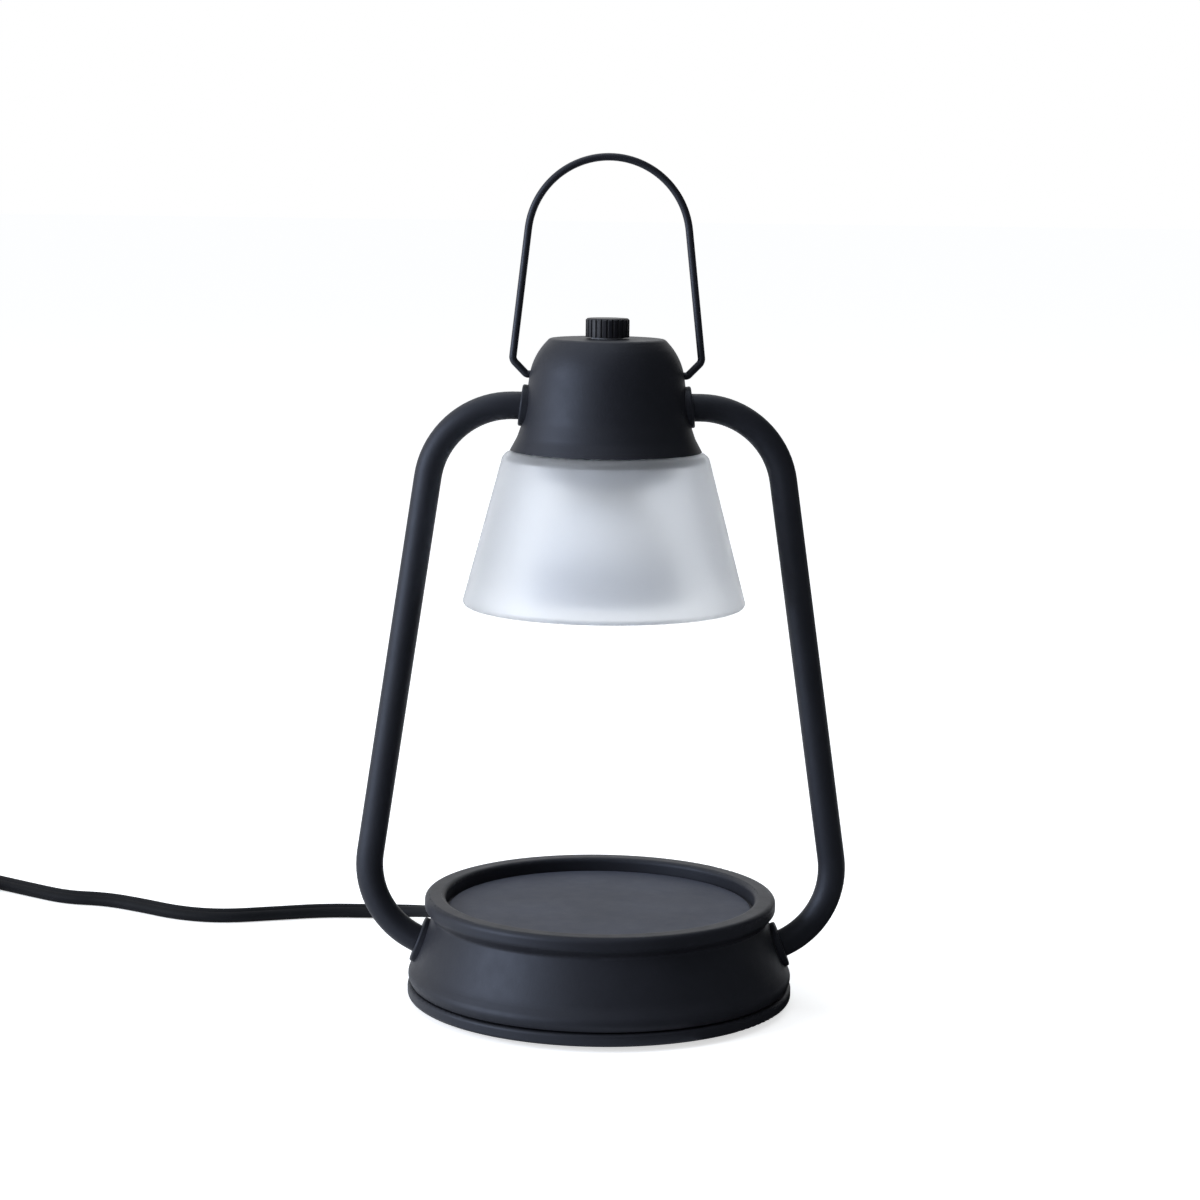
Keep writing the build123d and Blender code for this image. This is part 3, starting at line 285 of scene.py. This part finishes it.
# for each slot of the record: the function that makes its finish, and that finish's settings
FINISHES = {
    "black_paint": (powder_coat, dict(color=BLACK, rough=0.51, spun=0.35)),
    # plate_paint: a lighter copy of the black paint: painted light, for the candle plate that faces
    # up to the light
    "plate_paint": (powder_coat, dict(color=(0.046, 0.051, 0.07), rough=0.6, spun=0.25)),
    "black_wire": (powder_coat, dict(color=scaled(BLACK, 0.9), rough=0.4)),
    "cast_weight": (cast, dict(color=(0.16, 0.16, 0.165))),
    "zinc_steel": (plated_steel, dict(color=(0.6, 0.6, 0.62), rough=0.32)),
    # gallery_metal: grey, lighter than the satin black of the parts in this slot: painted light, so
    # that the shaded band under the hood shows lighter through the glass
    "gallery_metal": (powder_coat, dict(color=(0.3, 0.31, 0.33), rough=0.45)),
    "foot_rubber": (moulded, dict(color=(0.028, 0.028, 0.028), rough=0.8)),
    "gasket_rubber": (moulded, dict(color=(0.7, 0.7, 0.7), rough=0.5)),
    "shade_glass": (frosted_glass, dict(color=(0.953, 0.97, 0.996), rough=0.45)),
    "holder_ceramic": (glazed, dict(color=(0.8, 0.78, 0.73))),
    "reflector_mirror": (reflector_glass, dict(color=(0.95, 0.96, 0.98), rough=0.35)),
    "lamp_lens_glass": (lens_glass, dict(color=(0.9, 0.93, 0.95), rough=0.15)),
    "lamp_ceramic": (glazed, dict(color=(0.82, 0.81, 0.78))),
    "pin_metal": (plated_steel, dict(color=(0.66, 0.65, 0.63), rough=0.25)),
    "dimmer_plastic": (moulded, dict(color=(0.04, 0.04, 0.045), rough=0.55)),
    "knob_black": (
        moulded,
        dict(color=(0.0095, 0.0102, 0.014), rough=0.45, grain=2600.0, depth=0.00003, shine=0.27),
    ),
    "terminal_plastic": (moulded, dict(color=(0.66, 0.65, 0.6), rough=0.5)),
    "cord_black": (
        moulded,
        dict(color=(0.0065, 0.007, 0.0088), rough=0.6, grain=1200.0, depth=0.00003, shine=0.08),
    ),
    "lead_sleeve": (moulded, dict(color=(0.45, 0.45, 0.43), rough=0.6)),
    "boot_black": (moulded, dict(color=(0.013, 0.0135, 0.016), rough=0.55)),
    "tie_black": (moulded, dict(color=(0.018, 0.018, 0.019), rough=0.45)),
    "plug_black": (moulded, dict(color=(0.013, 0.0135, 0.016), rough=0.5)),
    "blade_metal": (plated_steel, dict(color=(0.72, 0.64, 0.46), rough=0.22)),
}
MATERIALS = {slot: make(slot, **settings) for slot, (make, settings) in FINISHES.items()}


def dress_nodes():
    """Every CAD node takes the material of its slot."""
    for sub in frame["record"]["subparts"]:
        node = frame["nodes"][sub["node"]]
        node.data.materials.clear()
        node.data.materials.append(MATERIALS[sub["material_slot"]])


# ---------------------------------------------------------------- cord, in millimetres

CORD_WIDTH = 5.4
CORD_THICK = 3.8
FLOOR_GAP = 0.1
CORD_REST = CORD_THICK / 2 + FLOOR_GAP

# between these points of its route the flat cord leans on one edge, so its middle lies higher there
LEAN_DEGREES = -30.0
LEAN_FROM = 3
LEAN_TO = 13
LEAN_REST = CORD_REST + 0.35

# the section: two round cores, each drawn as an arc, and the web between them
CORE_ARC = 252
CORE_STEPS = 14
WEB_SHARE = 0.62
CURVE_STEPS = 10

# the coil: three rings on the floor from the outside in, then three on top of them
COIL_CENTRE = (-263.0, 120.4)
COIL_RADII = (36.0, 30.5, 25.0)
COIL_IN = 50.8
COIL_OUT = 180.0
TURN = 360
POINTS_PER_TURN = 16
STEP_ARC = 60.0
LAYER_RISE = CORD_THICK + FLOOR_GAP

# from inside the boot to the coil
ROUTE = [
    (-39.3, 56.1, 12.1),
    (-47.1, 67.2, 9.1),
    (-62.7, 90.0, 4.0),
    (-77.8, 95.1, LEAN_REST),
    (-95.3, 95.3, LEAN_REST),
    (-112.4, 90.3, LEAN_REST),
    (-129.9, 85.2, LEAN_REST),
    (-145.5, 88.9, LEAN_REST),
    (-159.5, 98.8, LEAN_REST),
    (-173.6, 107.1, LEAN_REST),
    (-187.7, 108.9, LEAN_REST),
    (-200.8, 118.1, LEAN_REST),
    (-215.4, 129.1, LEAN_REST),
    (-227.0, 137.3, LEAN_REST),
]
# from the coil into the plug
TAIL = [
    (-301.1, 110.6, 5.6),
    (-301.7, 99.6, 6.3),
    (-301.7, 86.1, 6.3),
]


def coil_points():
    """Points round the coil; each ring eases over into the next one within STEP_ARC degrees."""
    radii = [*COIL_RADII, *reversed(COIL_RADII)]
    layers = [0] * len(COIL_RADII) + [1] * len(COIL_RADII)
    last = len(radii) - 1
    sweep = TURN * len(radii) + (COIL_OUT - COIL_IN)
    count = round(sweep / TURN * POINTS_PER_TURN)
    made = []
    for index in range(count + 1):
        turned = sweep * index / count
        ring = min(int(turned // TURN), last)
        after = min(ring + 1, last)
        into = min(max((turned - TURN * (ring + 1)) / STEP_ARC + 1, 0), 1) if ring < last else 0
        ease = into * into * (3 - 2 * into)
        radius = radii[ring] + (radii[after] - radii[ring]) * ease
        layer = layers[ring] + (layers[after] - layers[ring]) * ease
        angle = math.radians(COIL_IN + turned)
        made.append(
            (
                COIL_CENTRE[0] + radius * math.cos(angle),
                COIL_CENTRE[1] + radius * math.sin(angle),
                CORD_REST + LAYER_RISE * layer,
            )
        )
    return made


def flat_twin_profile():
    """Section of a flat twin cord: two round cores side by side, with a groove between them."""
    core = CORD_THICK / 2
    offset = CORD_WIDTH / 2 - core
    waist = core * WEB_SHARE
    right = []
    for step in range(CORE_STEPS + 1):
        angle = math.radians(CORE_ARC * (step / CORE_STEPS - 0.5))
        right.append((offset + core * math.cos(angle), core * math.sin(angle)))
    left = [(-x, y) for x, y in reversed(right)]
    outline = right + [(0, waist)] + left + [(0, -waist)]

    curve = bpy.data.curves.new("cord_profile", "CURVE")
    curve.dimensions = "2D"
    spline = curve.splines.new("POLY")
    spline.points.add(len(outline) - 1)
    for point, (x, y) in zip(spline.points, outline):
        point.co = (x * MM, y * MM, 0, 1)
    spline.use_cyclic_u = True
    profile = bpy.data.objects.new("cord_profile", curve)
    scene.collection.objects.link(profile)
    profile.hide_render = True
    profile.hide_viewport = True
    return profile


def make_cord():
    curve = bpy.data.curves.new("cord_line", "CURVE")
    curve.dimensions = "3D"
    curve.twist_mode = "Z_UP"
    curve.bevel_mode = "OBJECT"
    curve.bevel_object = flat_twin_profile()
    curve.use_fill_caps = True
    curve.resolution_u = CURVE_STEPS
    spline = curve.splines.new("NURBS")
    points = ROUTE + coil_points() + TAIL
    spline.points.add(len(points) - 1)
    for point, place in zip(spline.points, points):
        point.co = (*(c * MM for c in place), 1)
    for point in spline.points[LEAN_FROM : LEAN_TO + 1]:
        point.tilt = math.radians(LEAN_DEGREES)
    spline.order_u = 3
    spline.use_endpoint_u = True
    cord = bpy.data.objects.new("cord_line", curve)
    scene.collection.objects.link(cord)
    curve.materials.append(MATERIALS["cord_black"])
    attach(cord, "lamp")
    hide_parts("cord", "cord_tail", "cord_coil")


# ---------------------------------------------------------------- world and floor

AMBIENT = 0.42
AMBIENT_COLOR = (0.96, 0.98, 1.0, 1)
WHITE = (1, 1, 1, 1)
FLOOR_SIZE = 40.0
FLOOR_GREY = 0.93
# what the floor adds for camera rays, so that the world's light alone already makes it white
FLOOR_GLOW = 1 - FLOOR_GREY * AMBIENT
# the share of that glow that reflections and the frosted glass see
FLOOR_GLOW_MIRRORED = 0.35


def math_node(tree, operation, first, second):
    """A math node whose inputs are sockets or plain numbers."""
    made = tree.nodes.new("ShaderNodeMath")
    made.operation = operation
    for socket, value in zip(made.inputs, (first, second)):
        if isinstance(value, (int, float)):
            socket.default_value = value
        else:
            tree.links.new(value, socket)
    return made.outputs["Value"]


def sees_white(tree, mirrored=1.0):
    """1 for camera rays, mirrored for glossy and transmission rays, and 0 for the rest."""
    rays = tree.nodes.new("ShaderNodeLightPath").outputs
    bounced = math_node(tree, "MAXIMUM", rays["Is Glossy Ray"], rays["Is Transmission Ray"])
    dimmed = math_node(tree, "MULTIPLY", bounced, mirrored)
    return math_node(tree, "MAXIMUM", rays["Is Camera Ray"], dimmed)


def make_world():
    world = bpy.data.worlds.new("studio")
    scene.world = world
    world.use_nodes = True
    tree = world.node_tree
    lit = tree.nodes["Background"]
    lit.inputs["Color"].default_value = AMBIENT_COLOR
    lit.inputs["Strength"].default_value = AMBIENT
    white = tree.nodes.new("ShaderNodeBackground")
    white.inputs["Color"].default_value = WHITE
    mix = tree.nodes.new("ShaderNodeMixShader")
    tree.links.new(sees_white(tree), mix.inputs["Fac"])
    tree.links.new(lit.outputs["Background"], mix.inputs[1])
    tree.links.new(white.outputs["Background"], mix.inputs[2])
    tree.links.new(mix.outputs["Shader"], tree.nodes["World Output"].inputs["Surface"])


def board(name, corners, material):
    """A flat piece of the studio, with one face."""
    mesh = bpy.data.meshes.new(name)
    mesh.from_pydata(corners, [], [list(range(len(corners)))])
    mesh.materials.append(material)
    made = bpy.data.objects.new(name, mesh)
    scene.collection.objects.link(made)
    return made


def floor_paper():
    """White paper: diffuse, so it keeps the object's shadow, with a glow that makes it white."""
    paper = bpy.data.materials.new("floor_paper")
    paper.use_nodes = True
    tree = paper.node_tree
    tree.nodes.clear()
    output = tree.nodes.new("ShaderNodeOutputMaterial")
    lit = tree.nodes.new("ShaderNodeBsdfDiffuse")
    lit.inputs["Color"].default_value = (FLOOR_GREY, FLOOR_GREY, FLOOR_GREY, 1)
    glow = tree.nodes.new("ShaderNodeEmission")
    both = tree.nodes.new("ShaderNodeAddShader")
    share = math_node(tree, "MULTIPLY", sees_white(tree, FLOOR_GLOW_MIRRORED), FLOOR_GLOW)
    tree.links.new(share, glow.inputs["Strength"])
    tree.links.new(lit.outputs["BSDF"], both.inputs[0])
    tree.links.new(glow.outputs["Emission"], both.inputs[1])
    tree.links.new(both.outputs["Shader"], output.inputs["Surface"])
    return paper


def make_floor():
    half = FLOOR_SIZE / 2
    board(
        "floor",
        [(-half, -half, 0), (half, -half, 0), (half, half, 0), (-half, half, 0)],
        floor_paper(),
    )


# ---------------------------------------------------------------- lights and flags

FLAG_RIGHT = 1.2
FLAG_FRONT = -1.75
FLAG_HEIGHT = 1.9
FLAG_LOW = 0.002


def area_light(name, place, target, size, power, color):
    """A square soft light. It doesn't show through the frosted glass as a bright patch."""
    data = bpy.data.lights.new(name, "AREA")
    data.energy = power
    data.color = color
    data.size = size
    light = bpy.data.objects.new(name, data)
    scene.collection.objects.link(light)
    light.visible_camera = False
    light.visible_transmission = False
    light.location = place
    light.rotation_mode = "QUATERNION"
    light.rotation_quaternion = (Vector(target) - Vector(place)).to_track_quat("-Z", "Y")


def upright(start, end):
    """Corners of a board that stands on the floor between two points."""
    return [(*start, 0.0), (*end, 0.0), (*end, FLAG_HEIGHT), (*start, FLAG_HEIGHT)]


def level(outline, height):
    """Corners of a board that lies at a height."""
    return [(*corner, height) for corner in outline]


def make_flags():
    """Dark boards that only reflections see: painted reflections of shade in the sides that turn to
    them, where the white world and floor would be mirrored.
    """
    painted_reflection = Material("painted_reflection_board", (0.01, 0.01, 0.011), rough=0.95, Specular_IOR_Level=0.1)
    # the low one, a painted reflection of shaded floor, lies in front of the object and to its
    # right, and leaves out where it stands
    low_outline = [
        (-0.35, FLAG_FRONT),
        (FLAG_RIGHT, FLAG_FRONT),
        (FLAG_RIGHT, 0.4),
        (0.06, 0.05),
        (0.03, -0.055),
        (-0.12, -0.13),
    ]
    top_outline = [(0.3, FLAG_FRONT), (2.2, FLAG_FRONT), (2.2, 1.0), (0.3, 1.0)]
    boards = {
        "flag_right": upright((FLAG_RIGHT, -1.7), (FLAG_RIGHT, 2.0)),
        "flag_front": upright((-0.5, FLAG_FRONT), (1.25, FLAG_FRONT)),
        "flag_low": level(low_outline, FLAG_LOW),
        "flag_top": level(top_outline, FLAG_HEIGHT),
    }
    for name, corners in boards.items():
        flag = board(name, corners, painted_reflection.data)
        flag.visible_camera = False
        flag.visible_diffuse = False
        flag.visible_transmission = False
        flag.visible_shadow = False


def make_lights():
    area_light(
        "key_left",
        place=(-1.5, -0.62, 0.52),
        target=(0, 0, 0.15),
        size=1.1,
        power=32,
        color=(0.8, 0.87, 1.0),
    )
    area_light(
        "top",
        place=(-0.2, 0.3, 1.6),
        target=(0, 0, 0.1),
        size=1.5,
        power=7.8,
        color=(0.88, 0.94, 1.0),
    )


make_camera()
make_world()
make_floor()
make_lights()
make_flags()
dress_nodes()
make_cord()

scene.view_settings.view_transform = "Standard"
